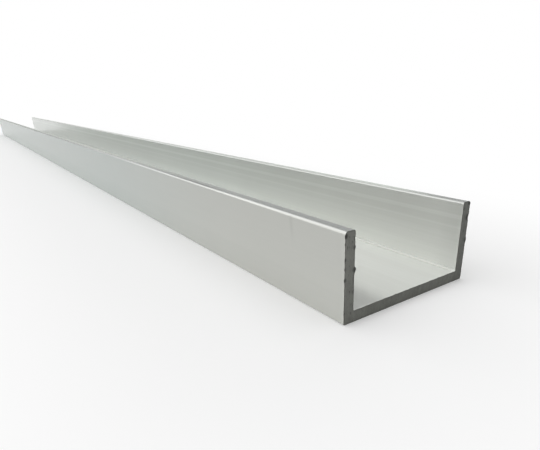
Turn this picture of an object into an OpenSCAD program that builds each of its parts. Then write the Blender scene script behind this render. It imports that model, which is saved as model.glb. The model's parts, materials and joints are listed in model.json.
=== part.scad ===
// Extruded aluminium channel: a flat web with a plain flange along each side, sawn square to length.
// The bar lies on its web. X runs along the bar, Y across the web and Z up the flanges.
// The origin is on the underside of the web, in the middle of the bar.

/* [Section] */
// Width over the outer faces of the two flanges
channel_w = 60; // [20:1:200]
// Height of the flanges, from the underside of the web to the tips
flange_h = 30; // [10:1:100]
// Thickness of the web
web_t = 4; // [1:0.1:10]
// Thickness of each flange
flange_t = 4; // [2:0.1:9]

/* [Edges] */
// Radius on the outer edge of each flange's tip
tip_outer_r = 1.2; // [0.2:0.1:3.2]
// Radius on the inner edge of each flange's tip
tip_inner_r = 0.7; // [0.2:0.1:2.7]
// Radius on each heel, the outer corner of web and flange
heel_r = 0.6; // [0.2:0.1:4]
// Fillet in each root, the inner corner of web and flange
root_r = 0.4; // [0.2:0.1:5]

/* [Length] */
// Length that the bar is sawn to
bar_length = 1000; // [100:10:6000]

/* [Hidden] */
$fn = 64;
satin_aluminium = [0.73, 0.73, 0.71];

// Clear width between the inner faces of the flanges
trough_w = channel_w - 2 * flange_t;
// How far the cutter for the trough stands above the tips, so that it leaves no skin there
cutter_over = 1;

// What a radius takes off a square corner at the origin whose sides run along +X and +Y
module corner_sliver(r) {
  difference() {
    square(r);
    translate([r, r]) circle(r);
  }
}

// The same outline on both sides of the section's centre line
module both_sides() {
  for (side = [0, 1]) mirror([side, 0]) children();
}

// The space between the flanges, with a fillet left standing in each root
module trough() {
  difference() {
    translate([-trough_w / 2, web_t]) square([trough_w, flange_h - web_t + cutter_over]);
    both_sides() translate([-trough_w / 2, web_t]) corner_sliver(root_r);
  }
}

// What the radii take off one flange: its heel and the two edges of its tip
module flange_edges() {
  outer_face = -channel_w / 2;
  inner_face = outer_face + flange_t;
  translate([outer_face, 0]) corner_sliver(heel_r);
  translate([outer_face, flange_h]) mirror([0, 1]) corner_sliver(tip_outer_r);
  translate([inner_face, flange_h]) rotate(180) corner_sliver(tip_inner_r);
}

// The section that the die gives: the blank less the trough and the rounded edges
module section() {
  difference() {
    translate([-channel_w / 2, 0]) square([channel_w, flange_h]);
    trough();
    both_sides() flange_edges();
  }
}

// One bar of the section, with both ends sawn square
module channel() {
  color(satin_aluminium)
    rotate([90, 0, 90])
      linear_extrude(height = bar_length, center = true) section();
}

channel();
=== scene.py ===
import json
import math
from functools import cached_property
from typing import NamedTuple

import bmesh
import bpy
from bpy.props import FloatProperty, FloatVectorProperty, PointerProperty
from mathutils import Euler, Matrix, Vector, noise


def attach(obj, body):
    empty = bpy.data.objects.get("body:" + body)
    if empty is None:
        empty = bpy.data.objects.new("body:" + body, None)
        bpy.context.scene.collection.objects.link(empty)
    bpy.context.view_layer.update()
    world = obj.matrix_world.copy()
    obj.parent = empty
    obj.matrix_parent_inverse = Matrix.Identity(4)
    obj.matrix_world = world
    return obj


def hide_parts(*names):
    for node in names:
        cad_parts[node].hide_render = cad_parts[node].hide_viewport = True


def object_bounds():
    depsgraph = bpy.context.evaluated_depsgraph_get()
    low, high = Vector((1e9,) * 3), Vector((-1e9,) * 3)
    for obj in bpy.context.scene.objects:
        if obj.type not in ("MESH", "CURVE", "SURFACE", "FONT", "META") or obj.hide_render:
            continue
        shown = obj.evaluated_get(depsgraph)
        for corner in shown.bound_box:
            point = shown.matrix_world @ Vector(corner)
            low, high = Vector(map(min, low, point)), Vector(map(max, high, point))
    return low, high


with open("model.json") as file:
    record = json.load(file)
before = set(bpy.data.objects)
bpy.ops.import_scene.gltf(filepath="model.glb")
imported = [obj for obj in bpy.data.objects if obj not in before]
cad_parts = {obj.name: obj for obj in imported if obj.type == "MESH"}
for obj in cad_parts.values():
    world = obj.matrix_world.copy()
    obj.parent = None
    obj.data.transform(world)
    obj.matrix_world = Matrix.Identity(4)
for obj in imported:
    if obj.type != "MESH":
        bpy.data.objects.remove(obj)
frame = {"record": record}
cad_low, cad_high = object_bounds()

bl_info = {
    "name": "Anodised channel bar",
    "version": (1, 0, 0),
    "blender": (4, 5, 0),
    "location": "View3D > Sidebar > Channel",
    "description": "Models a sawn bar of anodised aluminium channel and the stage that it is shown on",
    "category": "Add Mesh",
}

MM = 0.001
CAD_SIZE = cad_high - cad_low
MOUNT_AT = {mount["name"]: Vector(mount["pos_m"]) for mount in frame["record"]["mounts"]}


# Sizes and colours

class ChannelSection(bpy.types.PropertyGroup):
    """Sizes of the extruded section and of the bar."""

    length: FloatProperty(
        name="Length", description="Length that the bar is sawn to",
        default=CAD_SIZE.x, unit="LENGTH")
    width: FloatProperty(
        name="Width", description="Width over the outer faces of the flanges",
        default=CAD_SIZE.y, unit="LENGTH")
    height: FloatProperty(
        name="Height", description="Height of the flanges over the underside of the web",
        default=CAD_SIZE.z, unit="LENGTH")
    web: FloatProperty(
        name="Web", description="Thickness of the web",
        default=MOUNT_AT["web_floor"].z - cad_low.z, unit="LENGTH")
    flange: FloatProperty(
        name="Flange", description="Thickness of each flange",
        default=MOUNT_AT["flange_inner_face_front"].y - cad_low.y, unit="LENGTH")
    tip_outer_radius: FloatProperty(
        name="Outer tip radius", description="Radius on the outer edge of each flange's tip",
        default=1.2 * MM, unit="LENGTH")
    tip_inner_radius: FloatProperty(
        name="Inner tip radius", description="Radius on the inner edge of each flange's tip",
        default=0.7 * MM, unit="LENGTH")
    heel_radius: FloatProperty(
        name="Heel radius", description="Radius on the outer corner of web and flange",
        default=0.6 * MM, unit="LENGTH")
    root_radius: FloatProperty(
        name="Root radius", description="Fillet in the inner corner of web and flange",
        default=0.4 * MM, unit="LENGTH")

    @property
    def end(self):
        """Distance of each end from the middle of the bar."""
        return self.length / 2

    @property
    def outer_face(self):
        """Distance of each outer face from the middle of the web."""
        return self.width / 2

    @property
    def inner_face(self):
        """Distance of each flange's inner face from the middle of the web."""
        return self.outer_face - self.flange


class SawnEnd(bpy.types.PropertyGroup):
    """Sizes of what the saw leaves on the two ends."""

    step: FloatProperty(
        name="Step", description="Spacing of the points along the sawn edge",
        default=0.15 * MM, unit="LENGTH")
    burr_reach: FloatProperty(
        name="Burr reach", description="How far the common burr stands out from the faces",
        default=0.12 * MM, unit="LENGTH")
    burr_length: FloatProperty(
        name="Burr length", description="Usual length of one burr along the edge",
        default=0.7 * MM, unit="LENGTH")
    lip: FloatProperty(
        name="Lip", description="How far back from the cut the edge is bent out",
        default=0.18 * MM, unit="LENGTH")
    rim: FloatProperty(
        name="Rim", description="Width of the rim of the cut face that moves with the burr",
        default=0.6 * MM, unit="LENGTH")
    grid: FloatProperty(
        name="Grid", description="Spacing of the points across the cut face",
        default=0.4 * MM, unit="LENGTH")
    ripple: FloatProperty(
        name="Ripple", description="Depth of the saw's marks in the cut face",
        default=0.03 * MM, unit="LENGTH")


class Finish(bpy.types.PropertyGroup):
    """Colours and gloss of the skin and of the sawn faces, several of them with painted light and shade.
    """

    # The skin's colour drifts from skin to skin_far along the bar as a painted reflection.
    skin: FloatVectorProperty(
        name="Skin", description="Colour of the anodised skin near the end at +X",
        default=(0.670, 0.680, 0.655), subtype="COLOR", size=3, min=0, max=1)
    skin_far: FloatVectorProperty(
        name="Skin far", description="Colour of the anodised skin along the rest of the bar",
        default=(0.675, 0.695, 0.670), subtype="COLOR", size=3, min=0, max=1)
    # The outer faces are darker than the skin in painted shade, which stands in for the darker floor that
    # they reflect. outer and outer_far drift apart as a painted reflection.
    outer: FloatVectorProperty(
        name="Outer faces", description="Colour of the duller outer faces near the end at +X",
        default=(0.521, 0.528, 0.496), subtype="COLOR", size=3, min=0, max=1)
    outer_far: FloatVectorProperty(
        name="Outer faces far", description="Colour of the outer faces along the rest of the bar",
        default=(0.474, 0.508, 0.486), subtype="COLOR", size=3, min=0, max=1)
    # The flat tips' dark colour is painted shade, a painted reflection of dark surroundings, darkest near
    # the end at +X.
    tip: FloatVectorProperty(
        name="Tips", description="Colour of the flat tips of the flanges near the end at +X",
        default=(0.345, 0.357, 0.345), subtype="COLOR", size=3, min=0, max=1)
    tip_far: FloatVectorProperty(
        name="Tips far", description="Colour of the flat tips along the rest of the bar",
        default=(0.620, 0.655, 0.610), subtype="COLOR", size=3, min=0, max=1)
    # The tip edge tone is painted shade that dims the reflections on the tips' inner edges.
    tip_edge_tone: FloatProperty(
        name="Tip edge tone", description="Brightness of the inner edges of the tips beside the faces",
        default=0.80, min=0, max=1, subtype="FACTOR")
    # A root tone above 1 is a painted highlight along the fillets.
    root_tone: FloatProperty(
        name="Root tone", description="Brightness of the fillets in the roots beside the faces",
        default=1.11, min=0, max=1.4, subtype="FACTOR")
    skin_metal: FloatProperty(
        name="Skin metal", description="Share of the skin's reflection that is metal and not satin haze",
        default=0.6, min=0, max=1, subtype="FACTOR")
    skin_roughness: FloatProperty(
        name="Skin roughness", description="Roughness of the anodised skin",
        default=0.17, min=0, max=1, subtype="FACTOR")
    # The sawn faces' dark colour is painted shade.
    sawn: FloatVectorProperty(
        name="Sawn face", description="Colour of the sawn faces",
        default=(0.151, 0.155, 0.140), subtype="COLOR", size=3, min=0, max=1)
    sawn_metal: FloatProperty(
        name="Sawn metal", description="Share of the sawn faces' reflection that is metal",
        default=0.8, min=0, max=1, subtype="FACTOR")
    sawn_roughness: FloatProperty(
        name="Sawn roughness", description="Roughness of the sawn faces",
        default=0.535, min=0, max=1, subtype="FACTOR")


class Stage(bpy.types.PropertyGroup):
    """Camera, floor and light."""

    eye: FloatVectorProperty(
        name="Eye", description="Place of the camera",
        default=(0.58795, -0.11059, 0.0655), subtype="TRANSLATION", size=3)
    heading: FloatProperty(
        name="Heading", description="Direction that the camera looks in, turned from +X to +Y",
        default=math.radians(142.642), subtype="ANGLE")
    pitch: FloatProperty(
        name="Pitch", description="How far the camera looks down",
        default=math.radians(23.477), subtype="ANGLE")
    roll: FloatProperty(
        name="Roll", description="How far the camera leans to its left",
        default=math.radians(-0.781), subtype="ANGLE")
    lens: FloatProperty(
        name="Lens", description="Focal length on a frame 36 mm wide, in millimetres",
        default=29.26, unit="CAMERA")
    shift: FloatVectorProperty(
        name="Shift", description="Shift of the lens, as a share of the frame's width",
        default=(-0.0704, 0.1111), size=2)
    floor: FloatVectorProperty(
        name="Floor", description="Colour of the floor",
        default=(0.90, 0.90, 0.90), subtype="COLOR", size=3, min=0, max=1)
    dome: FloatProperty(
        name="Dome", description="Brightness of the room between the panels of light",
        default=0.5, min=0)


# Node trees

class Value:
    """A socket in a node tree. Arithmetic on it adds Math nodes to the tree."""

    def __init__(self, tree, socket):
        self.tree = tree
        self.socket = socket

    def __add__(self, other):
        return self.tree.calc("ADD", self, other)

    def __sub__(self, other):
        return self.tree.calc("SUBTRACT", self, other)

    def __rsub__(self, other):
        return self.tree.calc("SUBTRACT", other, self)

    def __mul__(self, other):
        return self.tree.calc("MULTIPLY", self, other)

    def __truediv__(self, other):
        return self.tree.calc("DIVIDE", self, other)

    def __pow__(self, other):
        return self.tree.calc("POWER", self, other)

    __radd__ = __add__
    __rmul__ = __mul__


class Tree:
    """A node tree that is emptied and built up again from expressions."""

    def __init__(self, owner):
        owner.use_nodes = True
        self.nodes = owner.node_tree.nodes
        self.links = owner.node_tree.links
        self.nodes.clear()

    def node(self, kind, settings=None, inputs=None, output=0):
        """Adds a node, sets it up, fills its sockets and gives one of its outputs."""
        made = self.nodes.new(kind)
        for name, setting in (settings or {}).items():
            setattr(made, name, setting)
        for name, given in (inputs or {}).items():
            if isinstance(given, Value):
                self.links.new(given.socket, self.find(made.inputs, name))
            else:
                self.find(made.inputs, name).default_value = given
        return Value(self, self.find(made.outputs, output)) if made.outputs else None

    @staticmethod
    def find(sockets, name):
        """The socket of that number, or else of that name or identifier."""
        if isinstance(name, int):
            return sockets[name]
        return next(s for s in sockets if name in (s.identifier, s.name))

    def calc(self, operation, *operands):
        """A Math node on values and numbers."""
        return self.node("ShaderNodeMath", {"operation": operation}, dict(enumerate(operands)))

    def place(self):
        """The point on the object, in metres."""
        return self.node("ShaderNodeTexCoord", output="Object")

    def split(self, vector):
        """The three numbers of a vector."""
        return [self.node("ShaderNodeSeparateXYZ", inputs={0: vector}, output=axis) for axis in range(3)]

    def ramp(self, value, low, high):
        """Rises softly from 0 at low to 1 at high."""
        return self.node("ShaderNodeMapRange", {"interpolation_type": "SMOOTHSTEP"}, {
            "Value": value, "From Min": low, "From Max": high})

    def window(self, value, low, high, soft):
        """1 between low and high, with soft edges that are centred on them."""
        half = soft / 2
        return self.ramp(value, low - half, low + half) * (1 - self.ramp(value, high - half, high + half))

    def noise(self, per_metre, detail=2.0, roughness=0.5, offset=0.0):
        """Noise from 0 to 1, with so many features per metre along X, Y and Z."""
        place = self.node("ShaderNodeMapping", inputs={
            "Vector": self.place(), "Location": (offset, offset, offset), "Scale": per_metre})
        return self.node("ShaderNodeTexNoise", inputs={
            "Vector": place, "Scale": 1.0, "Detail": detail, "Roughness": roughness})

    def blend(self, share, first, second):
        """Two colours, with a share of the second."""
        return self.node("ShaderNodeMix", {"data_type": "RGBA"}, {
            "Factor_Float": share, "A_Color": first, "B_Color": second}, output="Result_Color")

    def shade(self, colour, tone):
        """A colour made lighter or darker."""
        return self.node("ShaderNodeVectorMath", {"operation": "SCALE"}, {0: colour, "Scale": tone})


def opaque(colour):
    """A colour with the fourth number that its socket asks for."""
    return (*colour, 1)


def new_material(name):
    """An empty material and its node tree."""
    material = bpy.data.materials.new(name)
    return material, Tree(material)


# Marks in a finish

class Weights(NamedTuple):
    """How much some marks change the tone, the roughness and the relief of a finish."""

    tone: float = 0
    roughness: float = 0
    relief: float = 0


def total(marks, effect):
    """Adds up marks, each by its weight for one effect."""
    weighted = [(getattr(weights, effect), value) for value, weights in marks]
    return sum(weight * value for weight, value in weighted if weight)


def relief(tree, marks, depth, strength):
    """Normals of a surface with the marks in it."""
    return tree.node("ShaderNodeBump", inputs={
        "Strength": strength, "Distance": depth, "Height": total(marks, "relief")})


# The skin

class ReflectedLine(NamedTuple):
    """A lighter line painted along the inner faces as a painted reflection, in millimetres up from the
    underside.
    """

    height: float
    width: float
    gain: float


REFLECTED_LINES = (
    ReflectedLine(height=24.4, width=1.5, gain=0.09),
    ReflectedLine(height=20.5, width=0.8, gain=0.05),
)


class Smudge(NamedTuple):
    """A faint grey streak down an outer face, darkest at its top. Lengths are in millimetres."""

    from_end: float
    width: float
    low: float
    high: float
    lean: float
    depth: float


# The streak on the outer face at -Y, near the end at +X
SMUDGE = Smudge(from_end=26.4, width=1.5, low=19, high=28, lean=0.1, depth=0.08)


class Drift(NamedTuple):
    """Distances from the end at +X, in millimetres, between which the painted light and shade change."""

    start: float
    end: float


# These drifts move painted light and shade: the skin's painted reflection, the painted shade on the tips
# and their outer edges, and the painted shade beside the cut.
SHADE_DRIFT = Drift(start=30, end=270)
BACK_TIP_DRIFT = Drift(start=6, end=36)
TIP_EDGE_DRIFT = Drift(start=50, end=100)
CUT_DRIFT = Drift(start=0, end=12)


class Fade(NamedTuple):
    """Depths under a face, in millimetres, between which the finish of the face sets in."""

    start: float
    full: float


FACE_FADE = Fade(start=0.3, full=0.1)
TIP_FADE = Fade(start=0.12, full=0.02)
ROOT_FADE = Fade(start=0.2, full=0.1)
CUT_FADE = Fade(start=1.2, full=0.2)
# The stretch to both sides of the bar's middle in which front and back blend
MIDDLE_FADE = 1 * MM
# Shares of the outer tip radius between which the painted shade on a tip's two edges fades
INNER_EDGE_SPAN = (1.0, 0.5)
OUTER_EDGE_CHORD = (1.0, 0.85)
OUTER_EDGE_DEPTH = (0.6, 0.2)
# Shares of the root radius between which the painted highlight and the roughness of a fillet fade
ROOT_SPAN = (0.95, 1.25)

# Share of the grain that the outer faces lack
OUTER_CALM = 0.5
# How much lighter the outer faces are painted at the heels than at the tips: a painted reflection of the
# floor
OUTER_SLOPE = 0.12
# How much lighter the inner faces and the web are painted towards the roots, and how far from them:
# painted bounce light
ROOT_GLOW = 0.13
ROOT_GLOW_REACH = 13 * MM
# How much lighter the skin is painted right beside the cuts: a painted sheen along their rims
CUT_SHEEN = 0.04
# How much darker the inner faces of the flanges are painted beside the cut at +X: painted shade
CUT_DARKENING = 0.07
# How much darker the outer edges of the tips are painted away from the end at +X: painted shade that dims
# their highlight
TIP_EDGE_SHADE = 0.40
# How much rougher the tips and the fillets are than the faces
TIP_ROUGHNESS = 0.3
ROOT_ROUGHNESS = 0.6
SKIN_RELIEF = 0.01 * MM
SKIN_RELIEF_STRENGTH = 0.12


class SkinMap:
    """Masks that say where on the bar's skin a point lies. Each goes from 0 to 1."""

    def __init__(self, tree, section):
        self.tree = tree
        self.section = section
        self.x, self.y, self.z = tree.split(tree.place())
        self.across = tree.calc("ABSOLUTE", self.y)

    def reach(self, value, face, fade):
        """Rises to 1 just under a face."""
        return self.tree.ramp(value, face - fade.start * MM, face - fade.full * MM)

    def past(self, drift):
        """Rises from 0 at the end at +X to 1 along the rest of the bar."""
        end = self.section.end
        return 1 - self.tree.ramp(self.x, end - drift.end * MM, end - drift.start * MM)

    @cached_property
    def outer(self):
        """The outer faces of the flanges."""
        return self.reach(self.across, self.section.outer_face, FACE_FADE)

    @cached_property
    def front(self):
        """The outer face at -Y."""
        return self.reach(0 - self.y, self.section.outer_face, FACE_FADE)

    @cached_property
    def inner(self):
        """The inner faces of the flanges."""
        face = self.section.inner_face
        return self.reach(self.across, face, FACE_FADE) * self.reach(0 - self.across, -face, FACE_FADE)

    @cached_property
    def back_half(self):
        """The half of the bar at +Y."""
        return self.tree.ramp(self.y, -MIDDLE_FADE, MIDDLE_FADE)

    @cached_property
    def cut_edges(self):
        """The skin right beside the two cuts."""
        return self.reach(self.tree.calc("ABSOLUTE", self.x), self.section.end, CUT_FADE)

    @cached_property
    def tips(self):
        """The flat tips of the flanges."""
        return self.reach(self.z, self.section.height, TIP_FADE)

    @cached_property
    def tip_inner_edges(self):
        """The arcs on the inner sides of the tips."""
        section = self.section
        start, full = (section.outer_face - share * section.tip_outer_radius for share in INNER_EDGE_SPAN)
        low = section.height - section.tip_inner_radius
        high = section.height - TIP_FADE.start * MM
        return self.tree.ramp(self.z, low, high) * (1 - self.tree.ramp(self.across, start, full))

    @cached_property
    def tip_outer_edges(self):
        """The upper stretches of the arcs on the outer sides of the tips."""
        section = self.section
        corner = (self.across - section.outer_face) + (self.z - section.height)
        start, full = (-share * section.tip_outer_radius for share in OUTER_EDGE_CHORD)
        low, high = (section.height - share * section.tip_outer_radius for share in OUTER_EDGE_DEPTH)
        return self.tree.ramp(corner, start, full) * self.tree.ramp(self.z, low, high)

    @cached_property
    def roots(self):
        """The fillets between web and flanges."""
        section = self.section
        corner = (section.inner_face - self.across) + (self.z - section.web)
        full, gone = (share * section.root_radius for share in ROOT_SPAN)
        over_web = self.reach(self.z, section.web, ROOT_FADE)
        in_trough = self.reach(0 - self.across, -section.inner_face, ROOT_FADE)
        return (1 - self.tree.ramp(corner, full, gone)) * over_web * in_trough

    @cached_property
    def near_roots(self):
        """The web and the inner faces, most in the roots, where bounce light is painted."""
        section = self.section
        away = self.tree.calc("MAXIMUM", section.inner_face - self.across, self.z - section.web)
        return (1 - self.outer) * (1 - self.tree.ramp(away, 0, ROOT_GLOW_REACH))

    def reflected_line(self, line):
        """One of the painted reflected lines along the inner faces."""
        half = line.width / 2
        low, high = (line.height - half) * MM, (line.height + half) * MM
        return self.inner * self.tree.window(self.z, low, high, half * MM)

    def smudge(self, smudge):
        """A streak on the outer face at -Y."""
        middle = self.section.end - smudge.from_end * MM + smudge.lean * (smudge.high * MM - self.z)
        half = smudge.width / 2 * MM
        streak = self.tree.window(self.x - middle, -half, half, smudge.width * MM)
        return streak * self.tree.ramp(self.z, smudge.low * MM, smudge.high * MM) * self.front


def skin_marks(tree):
    """The lines that the die draws along the bar and the clouds in the anodising."""
    bands = tree.noise(per_metre=(0.5, 150, 150), detail=1)
    streaks = tree.noise(per_metre=(1, 750, 750), offset=3.1)
    hairlines = tree.noise(per_metre=(3, 4000, 4000), offset=7.7)
    clouds = tree.noise(per_metre=(35, 35, 35), detail=3, offset=1.3)
    return (
        (bands - 0.5, Weights(tone=0.07)),
        (streaks - 0.5, Weights(tone=0.07, roughness=0.08, relief=0.6)),
        (hairlines - 0.5, Weights(tone=0.06, relief=1)),
        (clouds - 0.5, Weights(tone=0.05, roughness=0.06)),
    )


def skin_tone(skin, finish, marks):
    """How light the skin is at a point, as a share of its colour there: its grain and a smudge, and much
    painted light and shade.
    """
    # Painted reflections in lines along the inner faces
    gains = [(line.gain, skin.reflected_line(line)) for line in REFLECTED_LINES]
    gains += [
        # painted reflection: outer faces lighter low down and darker high up
        (OUTER_SLOPE, skin.outer * (0.5 - skin.z / skin.section.height)),
        # painted bounce light towards the roots
        (ROOT_GLOW, skin.near_roots),
        # painted shade on the tips' inner edges
        (finish.tip_edge_tone - 1, skin.tip_inner_edges),
        # painted highlight along the fillets
        (finish.root_tone - 1, skin.roots),
        # painted sheen beside the cuts
        (CUT_SHEEN, skin.cut_edges),
        # painted shade on the inner faces beside the cut at +X
        (-CUT_DARKENING, skin.inner * (1 - skin.past(CUT_DRIFT))),
        (-SMUDGE.depth, skin.smudge(SMUDGE)),
        # painted shade on the tips' outer edges away from the end at +X
        (-TIP_EDGE_SHADE, skin.tip_outer_edges * skin.past(TIP_EDGE_DRIFT)),
    ]
    tone = 1 + total(marks, "tone") * (1 - OUTER_CALM * skin.outer)
    for gain, mask in gains:
        tone = tone * (1 + gain * mask)
    return tone


def skin_colour(tree, skin, finish):
    """Colour of the skin, whose painted reflection drifts a little along the bar, with painted shade on
    the outer faces and on the tips.
    """
    far = skin.past(SHADE_DRIFT)
    tip_far = far * (1 - skin.back_half) + skin.past(BACK_TIP_DRIFT) * skin.back_half
    inner = tree.blend(far, opaque(finish.skin), opaque(finish.skin_far))
    outer = tree.blend(far, opaque(finish.outer), opaque(finish.outer_far))
    tips = tree.blend(tip_far, opaque(finish.tip), opaque(finish.tip_far))
    return tree.blend(skin.tips, tree.blend(skin.outer, inner, outer), tips)


def anodised_skin(finish, section):
    """Satin clear anodising over the fine lines that the die draws along the bar."""
    material, tree = new_material("anodised_skin")
    skin = SkinMap(tree, section)
    marks = skin_marks(tree)
    roughness = finish.skin_roughness + total(marks, "roughness")
    roughness = roughness + TIP_ROUGHNESS * skin.tips + ROOT_ROUGHNESS * skin.roots
    # The skin's haze has no gloss of its own beside the metal's
    shader = tree.node("ShaderNodeBsdfPrincipled", inputs={
        "Base Color": tree.shade(skin_colour(tree, skin, finish), skin_tone(skin, finish, marks)),
        "Metallic": finish.skin_metal, "Specular IOR Level": 0, "Roughness": roughness,
        "Normal": relief(tree, marks, SKIN_RELIEF, SKIN_RELIEF_STRENGTH)})
    tree.node("ShaderNodeOutputMaterial", inputs={"Surface": shader})
    return material


# The sawn faces

# Where the middle of the saw's blade passed, in the plane of the cut
BLADE_Y, BLADE_Z = 160 * MM, -40 * MM
# Spacing of the arcs that the teeth leave, and how far the stains push them about
TOOTH_PITCH = 0.55 * MM
ARC_WANDER = 9
# Length of one wave of the cut face, and of the unevenness in it
RIPPLE_PITCH = 4 * TOOTH_PITCH
RIPPLE_WANDER = 1.5 * MM
# Levels of the noise between which the metal is torn out
TEAR_START, TEAR_FULL = 0.60, 0.72
# The mesh attribute that says how torn and shadowed the metal is, from 0 to 1, and how dark that makes
# it: torn metal and painted shadow of the burrs and nicks
TORN_AND_SHADOW = "torn"
TORN_AND_SHADOW_DARKENING = 0.85
SAWN_RELIEF = 0.04 * MM
SAWN_RELIEF_STRENGTH = 0.5


class ShadeStep(NamedTuple):
    """A stretch across the bar where the sawn faces are painted darker towards +Y, in painted shade, in
    millimetres.
    """

    start: float
    end: float
    depth: float


SHADE_STEPS = (
    ShadeStep(start=-26, end=-18, depth=0.12),
    ShadeStep(start=24, end=27, depth=0.18),
)


def sawn_marks(tree, y, z):
    """What the saw's teeth leave on the cut faces."""
    stains = tree.noise(per_metre=(300, 300, 300))
    grit = tree.noise(per_metre=(3200, 3200, 3200), detail=3, roughness=0.6, offset=2.3)
    drags = tree.noise(per_metre=(300, 2200, 150), offset=5.3)
    tears = tree.ramp(tree.noise(per_metre=(900, 1500, 700), offset=8.1), TEAR_START, TEAR_FULL)
    radius = ((y - BLADE_Y) ** 2 + (z - BLADE_Z) ** 2) ** 0.5
    arcs = tree.calc("SINE", radius * (2 * math.pi / TOOTH_PITCH) + ARC_WANDER * stains)
    return (
        (arcs, Weights(tone=0.03, roughness=-0.025, relief=0.06)),
        (grit - 0.5, Weights(tone=0.6, relief=1)),
        (drags - 0.5, Weights(tone=0.28)),
        (stains - 0.5, Weights(tone=0.4)),
        (tears, Weights(tone=-0.3, roughness=0.1, relief=-0.6)),
    )


def sawn_face(finish):
    """Bare metal, torn by the saw, with painted shade that darkens it in steps towards +Y and painted
    shadow of the burrs beside its torn edges.
    """
    material, tree = new_material("sawn_face")
    _, y, z = tree.split(tree.place())
    marks = sawn_marks(tree, y, z)
    torn = tree.node("ShaderNodeAttribute", {"attribute_name": TORN_AND_SHADOW}, output="Fac")
    # Torn metal and painted shadow of the burrs and nicks darken the cut face
    tone = (1 + total(marks, "tone")) * (1 - TORN_AND_SHADOW_DARKENING * torn)
    # Painted shade: the sawn faces get darker in steps towards +Y
    for shade_step in SHADE_STEPS:
        tone = tone * (1 - shade_step.depth * tree.ramp(y, shade_step.start * MM, shade_step.end * MM))
    shader = tree.node("ShaderNodeBsdfPrincipled", inputs={
        "Base Color": tree.shade(finish.sawn, tone), "Metallic": finish.sawn_metal,
        "Roughness": finish.sawn_roughness + total(marks, "roughness"),
        "Normal": relief(tree, marks, SAWN_RELIEF, SAWN_RELIEF_STRENGTH)})
    tree.node("ShaderNodeOutputMaterial", inputs={"Surface": shader})
    return material


# The bar

ARC_SEGMENTS = 16
# The numbers of the mesh's two materials
SKIN, SAWN = 0, 1
# Places nearer to each other than this count as the same
SAME_PLACE = 1e-6
# Points nearer to a cutting plane than this count as on it
ON_PLANE = 1e-7
# A face is square to an axis where its normal reaches this far along it
SQUARE = 0.99999
# Length of the finely split stretch at each end, in lips
FINE_LIPS = 4


def section_outline(bm, section, at_x):
    """The edges of the section across the bar, with its corners rounded."""
    outer, inner = section.outer_face, section.inner_face
    outline = (
        (-outer, 0, section.heel_radius),
        (outer, 0, section.heel_radius),
        (outer, section.height, section.tip_outer_radius),
        (inner, section.height, section.tip_inner_radius),
        (inner, section.web, section.root_radius),
        (-inner, section.web, section.root_radius),
        (-inner, section.height, section.tip_inner_radius),
        (-outer, section.height, section.tip_outer_radius),
    )
    corners = [bm.verts.new((at_x, y, z)) for y, z, _ in outline]
    bm.faces.new(corners)
    for corner, (_, _, radius) in zip(corners, outline):
        bmesh.ops.bevel(
            bm, geom=[corner], offset=radius, offset_type="OFFSET", segments=ARC_SEGMENTS,
            profile=0.5, affect="VERTICES", material=-1)
    bmesh.ops.delete(bm, geom=bm.faces[:], context="FACES_ONLY")
    return bm.edges[:]


def cut_ring(bm, at_x):
    """A ring of edges round the bar."""
    geom = bm.verts[:] + bm.edges[:] + bm.faces[:]
    bmesh.ops.bisect_plane(bm, geom=geom, dist=ON_PLANE, plane_co=(at_x, 0, 0), plane_no=(1, 0, 0))


def split_end_edges(bm, section, step, depth):
    """Splits the straight stretches of the section into steps, from the ends to a depth."""
    by_cuts = {}
    for edge in bm.edges:
        near_end = min(abs(v.co.x) for v in edge.verts) > section.end - depth - SAME_PLACE
        along = edge.verts[0].co.x - edge.verts[1].co.x
        if near_end and abs(along) < SAME_PLACE and edge.calc_length() > 2 * step:
            by_cuts.setdefault(round(edge.calc_length() / step) - 1, []).append(edge)
    for cuts, edges in by_cuts.items():
        bmesh.ops.subdivide_edges(bm, edges=edges, cuts=cuts)


class Burr(NamedTuple):
    """A burr, or a nick if its reach is below zero, on the sawn edge, in millimetres.

    The last number says how dark the metal beside it is, from 0 to 1: torn metal and painted shadow of
    the burr.
    """

    y: float
    z: float
    length: float
    reach: float
    dark: float


# The burrs that stand out on the end at +X
NEAR_BURRS = (
    Burr(y=-26, z=27.2, length=1.6, reach=-0.10, dark=0.5),
    Burr(y=-26, z=24.6, length=2.0, reach=0.22, dark=0.6),
    Burr(y=-25.8, z=17.6, length=2.4, reach=0.80, dark=1.0),
    Burr(y=-26, z=14.8, length=2.6, reach=-0.16, dark=0.2),
    Burr(y=-26, z=10.4, length=2.0, reach=-0.10, dark=0.5),
    Burr(y=-29.7, z=28.6, length=2.2, reach=0.20, dark=0.8),
    Burr(y=-30, z=26.2, length=1.2, reach=0.10, dark=0.6),
    Burr(y=-30, z=21.4, length=1.8, reach=0.16, dark=0.8),
    Burr(y=-30, z=18.6, length=1.4, reach=0.08, dark=0.6),
    Burr(y=-30, z=15.0, length=2.0, reach=0.16, dark=0.9),
    Burr(y=-30, z=13.4, length=1.2, reach=-0.08, dark=0.6),
    Burr(y=-30, z=4.0, length=1.4, reach=0.08, dark=0.6),
    Burr(y=29.3, z=24.1, length=3.0, reach=-0.50, dark=0.9),
    Burr(y=29.8, z=15.6, length=3.0, reach=0.40, dark=0.5),
    Burr(y=29.4, z=29.3, length=2.4, reach=0.16, dark=0.6),
    Burr(y=26.8, z=27.6, length=1.4, reach=0.05, dark=0.4),
)
# By the side of the bar that an end is on. The end at -X has the common burr alone.
BURRS = {1: NEAR_BURRS, -1: ()}
# Keeps the common burrs of the two ends apart from each other
END_OFFSET = 7.3
# The common burr's finer part: how much finer and how high beside the coarse part
FINE_PITCH, FINE_SHARE = 2.7, 0.5
# The deepest nick of the common burr, as a share of its reach
DEEPEST_NICK = -0.6
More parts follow.
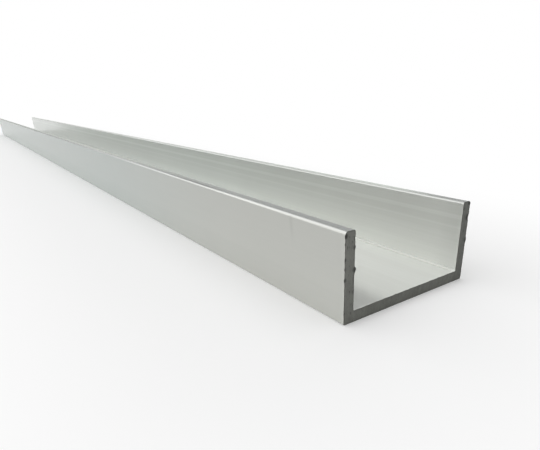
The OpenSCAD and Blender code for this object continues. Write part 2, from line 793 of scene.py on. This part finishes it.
# How torn and shadowed the sawn edge is all round, and how steeply that rises beside a burr: torn metal
# and painted shadow
EDGE_TORN_AND_SHADOW = 0.2
TORN_AND_SHADOW_RISE = 1.6


def nearness(burr, at):
    """1 in the middle of a burr, and 0 from its ends on."""
    away = math.hypot(at.y - burr.y * MM, at.z - burr.z * MM)
    return max(1 - away / (burr.length / 2 * MM), 0)


def burr_height(sawn, at, side):
    """How far the burr stands out at a point of the sawn edge, on one end of the bar."""
    place = Vector((side * END_OFFSET, at.y / sawn.burr_length, at.z / sawn.burr_length))
    swell = noise.noise(place) + FINE_SHARE * noise.noise(place * FINE_PITCH)
    height = sawn.burr_reach * max(swell, DEEPEST_NICK)
    return height + sum(burr.reach * MM * nearness(burr, at) for burr in BURRS[side])


def torn_and_shadow_share(at, side):
    """How torn and shadowed the cut face is at a point, from 0 to 1: most beside the burrs that stand
    out, where their shadow is painted.
    """
    shares = [TORN_AND_SHADOW_RISE * burr.dark * nearness(burr, at) for burr in BURRS[side]]
    return min(max(shares, default=0), 1)


def outward(vert):
    """The way out of the bar's skin at a point on the sawn edge."""
    normals = [f.normal for f in vert.link_faces if f.material_index == SKIN]
    total_normal = sum(normals, Vector())
    total_normal.x = 0
    return total_normal.normalized()


def grid_cap(bm, faces, section, step):
    """Cuts the face of an end into a grid."""
    for axis, low, high in ((1, -section.outer_face, section.outer_face), (2, 0, section.height)):
        count = round((high - low) / step)
        for k in range(1, count):
            at, way = Vector(), Vector()
            at[axis] = low + k * (high - low) / count
            way[axis] = 1
            edges = {e for f in faces for e in f.edges}
            verts = {v for f in faces for v in f.verts}
            cut = bmesh.ops.bisect_plane(
                bm, geom=[*faces, *edges, *verts], dist=ON_PLANE, plane_co=at, plane_no=way)
            faces = [g for g in cut["geom"] if isinstance(g, bmesh.types.BMFace)]
    return faces


def close_end(bm, section, sawn, side):
    """Closes one end with a cut face, and gives the faces of the grid inside its rim."""
    outline = [e for e in bm.edges if e.is_boundary and side * e.verts[0].co.x > 0]
    cap = bmesh.ops.edgeloop_fill(bm, edges=outline, mat_nr=SAWN)["faces"][0]
    if cap.normal.x * side < 0:
        cap.normal_flip()
    rim = bmesh.ops.inset_region(bm, faces=[cap], thickness=sawn.rim, use_even_offset=True)
    for face in rim["faces"]:
        face.material_index = SAWN
    return grid_cap(bm, [cap], section, sawn.grid)


def mark_torn_and_shadow(bm, side):
    """Notes how torn the cut face on one end is, and how much painted shadow the burrs cast on it."""
    torn = bm.verts.layers.float[TORN_AND_SHADOW]
    for vert in bm.verts:
        if side * vert.co.x > 0 and any(f.material_index == SAWN for f in vert.link_faces):
            vert[torn] = torn_and_shadow_share(vert.co, side)


def press_ripple(faces, sawn, side):
    """Presses the saw's marks into the cut face on one end."""
    for vert in {v for f in faces for v in f.verts}:
        radius = math.hypot(vert.co.y - BLADE_Y, vert.co.z - BLADE_Z)
        wave = math.sin(2 * math.pi * radius / RIPPLE_PITCH)
        wave += noise.noise(vert.co / RIPPLE_WANDER)
        vert.co.x -= side * sawn.ripple * (1 + wave / 2)


def bend_burrs(bm, section, sawn, side):
    """Bends the sawn edge of one end out and in, but not into the floor."""
    torn = bm.verts.layers.float[TORN_AND_SHADOW]
    for vert in bm.verts:
        on_end = abs(vert.co.x - side * section.end) < SAME_PLACE
        if on_end and len({f.material_index for f in vert.link_faces}) > 1:
            height = burr_height(sawn, vert.co, side)
            # Nicks and the sawn edge get darker: torn metal and painted shadow
            vert[torn] = min(vert[torn] + EDGE_TORN_AND_SHADOW + max(-height, 0) / sawn.burr_reach, 1)
            vert.co += outward(vert) * height
            vert.co.z = max(vert.co.z, 0)


def saw_end(bm, section, sawn, side):
    """The cut face on one end: its rim, the saw's marks in it and the burr round its edge."""
    grid = close_end(bm, section, sawn, side)
    bm.normal_update()
    mark_torn_and_shadow(bm, side)
    press_ripple(grid, sawn, side)
    bend_burrs(bm, section, sawn, side)


def lies_flat(face):
    """Whether a face is square to one of the axes, as the faces between the arcs are."""
    return max(abs(part) for part in face.normal) > SQUARE


def channel_mesh(section, sawn):
    """The whole bar as one closed mesh."""
    bm = bmesh.new()
    bm.verts.layers.float.new(TORN_AND_SHADOW)
    outline = section_outline(bm, section, -section.end)
    swept = bmesh.ops.extrude_edge_only(bm, edges=outline)
    ends = [v for v in swept["geom"] if isinstance(v, bmesh.types.BMVert)]
    bmesh.ops.translate(bm, verts=ends, vec=(section.length, 0, 0))
    fine = FINE_LIPS * sawn.lip
    for side in (-1, 1):
        for depth in (sawn.lip, fine, section.height):
            cut_ring(bm, side * (section.end - depth))
    split_end_edges(bm, section, sawn.step, fine)
    bmesh.ops.recalc_face_normals(bm, faces=bm.faces[:])
    for side in (-1, 1):
        saw_end(bm, section, sawn, side)
    for edge in bm.edges:
        edge.smooth = len({f.material_index for f in edge.link_faces}) == 1
    for face in bm.faces:
        face.smooth = face.material_index == SKIN and not lies_flat(face)
    mesh = bpy.data.meshes.new("channel_bar")
    bm.to_mesh(mesh)
    bm.free()
    return mesh


class CHANNEL_OT_bar(bpy.types.Operator):
    """Model the sawn bar and give it its finishes"""

    bl_idname = "channel.bar"
    bl_label = "Channel bar"

    def execute(self, context):
        scene = context.scene
        mesh = channel_mesh(scene.channel_section, scene.channel_sawn)
        mesh.materials.append(anodised_skin(scene.channel_finish, scene.channel_section))
        mesh.materials.append(sawn_face(scene.channel_finish))
        bar = bpy.data.objects.new("channel_bar", mesh)
        scene.collection.objects.link(bar)
        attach(bar, "root")
        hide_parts("channel")
        return {"FINISHED"}


# The stage

FLOOR_RADIUS = 60.0
FLOOR_SEGMENTS = 64
# Distances from the bar between which the floor turns into the white backdrop
BACKDROP_START, BACKDROP_FULL = 0.01, 0.16
WHITE = (1, 1, 1, 1)
# The nearest distance that the camera sees
CLIP_START = 1 * MM


def seen(tree):
    """1 for rays that show the surface to the eye: straight, mirrored or through glass."""
    straight, mirrored, through = (tree.node("ShaderNodeLightPath", output=kind) for kind in (
        "Is Camera Ray", "Is Glossy Ray", "Is Transmission Ray"))
    return tree.calc("MAXIMUM", tree.calc("MAXIMUM", straight, mirrored), through)


def floor_paint(stage, section):
    """Pale floor round the bar that turns into a white backdrop away from it."""
    material, tree = new_material("pale_floor")
    x, y, _ = tree.split(tree.place())
    past_end = tree.calc("MAXIMUM", tree.calc("ABSOLUTE", x) - section.end, 0)
    past_side = tree.calc("MAXIMUM", tree.calc("ABSOLUTE", y) - section.outer_face, 0)
    away = (past_end ** 2 + past_side ** 2) ** 0.5
    paint = tree.node("ShaderNodeBsdfDiffuse", inputs={"Color": opaque(stage.floor)})
    white = tree.node("ShaderNodeEmission", inputs={"Color": WHITE, "Strength": 1.0})
    shader = tree.node("ShaderNodeMixShader", inputs={
        0: tree.ramp(away, BACKDROP_START, BACKDROP_FULL) * seen(tree), 1: paint, 2: white})
    tree.node("ShaderNodeOutputMaterial", inputs={"Surface": shader})
    return material


def add_floor(scene, stage, section):
    """A round floor, wide enough for its edge to be out of sight."""
    bm = bmesh.new()
    bmesh.ops.create_circle(bm, cap_ends=True, segments=FLOOR_SEGMENTS, radius=FLOOR_RADIUS)
    mesh = bpy.data.meshes.new("floor")
    bm.to_mesh(mesh)
    bm.free()
    mesh.materials.append(floor_paint(stage, section))
    floor = bpy.data.objects.new("floor", mesh)
    scene.collection.objects.link(floor)


class LightPanel(NamedTuple):
    """A soft panel of light in the room, or a dark screen if its level is below zero.

    Angles are in degrees. The heading is turned from +X to +Y.
    """

    heading: float
    spread: float
    low: float
    high: float
    level: float


FULL_TURN = 360
LIGHT_PANELS = (
    LightPanel(heading=0, spread=FULL_TURN, low=-90, high=15, level=0.5),
    LightPanel(heading=0, spread=FULL_TURN, low=10, high=20, level=0.5),
    LightPanel(heading=124, spread=68, low=15, high=20, level=3.5),
    LightPanel(heading=225, spread=90, low=13, high=50, level=0.86),
    LightPanel(heading=225, spread=90, low=8, high=21, level=0.5),
    LightPanel(heading=135, spread=94, low=23, high=38, level=-0.28),
    LightPanel(heading=150, spread=40, low=9, high=14, level=0.8),
    LightPanel(heading=187, spread=20, low=5, high=17, level=-1.0),
    LightPanel(heading=0, spread=FULL_TURN, low=48, high=95, level=0.7),
)
# Angles over which a panel fades out at its lower and upper edges and at its sides
SOFT_EDGE, SOFT_SIDE = 4, 16


def panel_light(tree, direction, panel):
    """The light that one panel gives in each direction."""
    x, y, z = direction
    low, high, soft = (math.radians(angle) for angle in (panel.low, panel.high, SOFT_EDGE))
    light = tree.window(tree.calc("ARCSINE", z), low, high, soft)
    if panel.spread < FULL_TURN:
        turn = math.radians(panel.heading)
        ahead = x * math.cos(turn) + y * math.sin(turn)
        aside = y * math.cos(turn) - x * math.sin(turn)
        half = math.radians(panel.spread / 2)
        angle = tree.calc("ARCTAN2", aside, ahead)
        light = light * tree.window(angle, -half, half, math.radians(SOFT_SIDE))
    return panel.level * light


def add_world(scene, stage):
    """A pale room with soft panels of light, white where the camera looks at it."""
    world = bpy.data.worlds.new("soft_room")
    tree = Tree(world)
    direction = tree.split(tree.node("ShaderNodeTexCoord", output="Generated"))
    light = stage.dome
    for panel in LIGHT_PANELS:
        light = panel_light(tree, direction, panel) + light
    camera_ray = tree.node("ShaderNodeLightPath", output="Is Camera Ray")
    strength = light + camera_ray * (1 - light)
    shader = tree.node("ShaderNodeBackground", inputs={"Color": WHITE, "Strength": strength})
    tree.node("ShaderNodeOutputWorld", inputs={"Surface": shader})
    scene.world = world


def add_camera(scene, stage):
    """The camera, turned by its heading and pitch and then leaned by its roll."""
    data = bpy.data.cameras.new("camera")
    data.lens = stage.lens
    data.shift_x, data.shift_y = stage.shift
    data.clip_start = CLIP_START
    camera = bpy.data.objects.new("camera", data)
    camera.location = stage.eye
    turn = Euler((math.pi / 2 - stage.pitch, 0, stage.heading - math.pi / 2)).to_matrix()
    lean = Euler((0, 0, stage.roll)).to_matrix()
    camera.rotation_euler = (turn @ lean).to_euler()
    scene.collection.objects.link(camera)
    scene.camera = camera


class CHANNEL_OT_stage(bpy.types.Operator):
    """Set up the floor, the light and the camera"""

    bl_idname = "channel.stage"
    bl_label = "Stage"

    def execute(self, context):
        scene = context.scene
        scene.view_settings.view_transform = "Standard"
        add_floor(scene, scene.channel_stage, scene.channel_section)
        add_world(scene, scene.channel_stage)
        add_camera(scene, scene.channel_stage)
        return {"FINISHED"}


# The add-on

class CHANNEL_PT_sidebar(bpy.types.Panel):
    """Lists the operators and their settings"""

    bl_label = "Channel bar"
    bl_space_type = "VIEW_3D"
    bl_region_type = "UI"
    bl_category = "Channel"

    def draw(self, context):
        for name, operator in (
            ("channel_section", None),
            ("channel_sawn", None),
            ("channel_finish", CHANNEL_OT_bar.bl_idname),
            ("channel_stage", CHANNEL_OT_stage.bl_idname),
        ):
            group = getattr(context.scene, name)
            for prop in group.bl_rna.properties:
                if not prop.is_readonly and prop.identifier != "name":
                    self.layout.prop(group, prop.identifier)
            if operator:
                self.layout.operator(operator)


GROUPS = {
    "channel_section": ChannelSection,
    "channel_sawn": SawnEnd,
    "channel_finish": Finish,
    "channel_stage": Stage,
}
CLASSES = (*GROUPS.values(), CHANNEL_OT_bar, CHANNEL_OT_stage, CHANNEL_PT_sidebar)


def register():
    for cls in CLASSES:
        bpy.utils.register_class(cls)
    for name, group in GROUPS.items():
        setattr(bpy.types.Scene, name, PointerProperty(type=group))


def unregister():
    for name in GROUPS:
        delattr(bpy.types.Scene, name)
    for cls in reversed(CLASSES):
        bpy.utils.unregister_class(cls)


def main():
    register()
    bpy.ops.channel.bar()
    bpy.ops.channel.stage()


if __name__ == "__main__":
    main()
